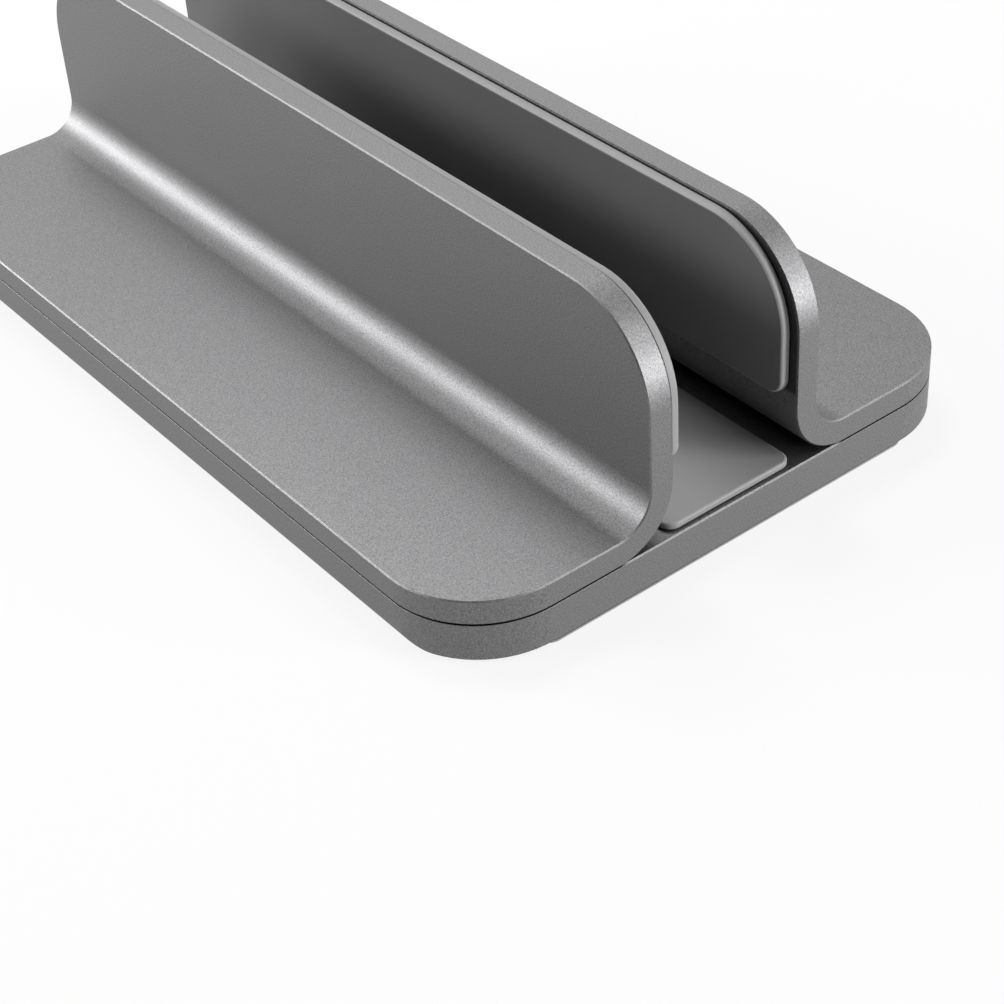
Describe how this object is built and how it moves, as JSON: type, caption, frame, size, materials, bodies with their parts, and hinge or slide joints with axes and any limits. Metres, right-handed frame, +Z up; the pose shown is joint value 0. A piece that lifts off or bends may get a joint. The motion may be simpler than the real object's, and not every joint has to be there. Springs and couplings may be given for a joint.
{
  "type": "vertical laptop stand",
  "caption": "Vertical desk stand: bent aluminium brackets with soft pads slide on a rounded base plate and hold a closed laptop upright on its edge.",
  "frame": {"origin": "centre of the base, on the desk under the foot strips", "axes": "+X across the slot from the left bracket to the right, +Y along the slot away from the camera, +Z up"},
  "size_m": [0.12, 0.1934, 0.0538],
  "materials": {
    "base_plate": "bead-blasted and grey anodised, with bright cut edges",
    "bracket": "bead-blasted and grey anodised, with bright cut edges",
    "upright_pad": "matte silicone",
    "base_pad": "matte silicone",
    "foot_strip": "matte, anti-slip",
    "screw": "plain steel",
    "washer": "plain steel"
  },
  "bodies": {
    "base": {"base_plate": "base_plate", "base_pad": "base_pad", "front_foot_strip": "foot_strip", "rear_foot_strip": "foot_strip"},
    "left_jaw": {"left_bracket": "bracket", "left_pad": "upright_pad", "left_front_screw": "screw", "left_rear_screw": "screw", "left_front_washer": "washer", "left_rear_washer": "washer"},
    "right_jaw": {"right_bracket": "bracket", "right_pad": "upright_pad", "right_front_screw": "screw", "right_rear_screw": "screw", "right_front_washer": "washer", "right_rear_washer": "washer"}
  },
  "joints": [
    {"name": "left_bracket_slide", "type": "slide", "parent": "base", "child": "left_jaw", "axis": [1, 0, 0], "range_m": [0, 0.0047]},
    {"name": "right_bracket_slide", "type": "slide", "parent": "base", "child": "right_jaw", "axis": [-1, 0, 0], "range_m": [0, 0.0047]}
  ]
}
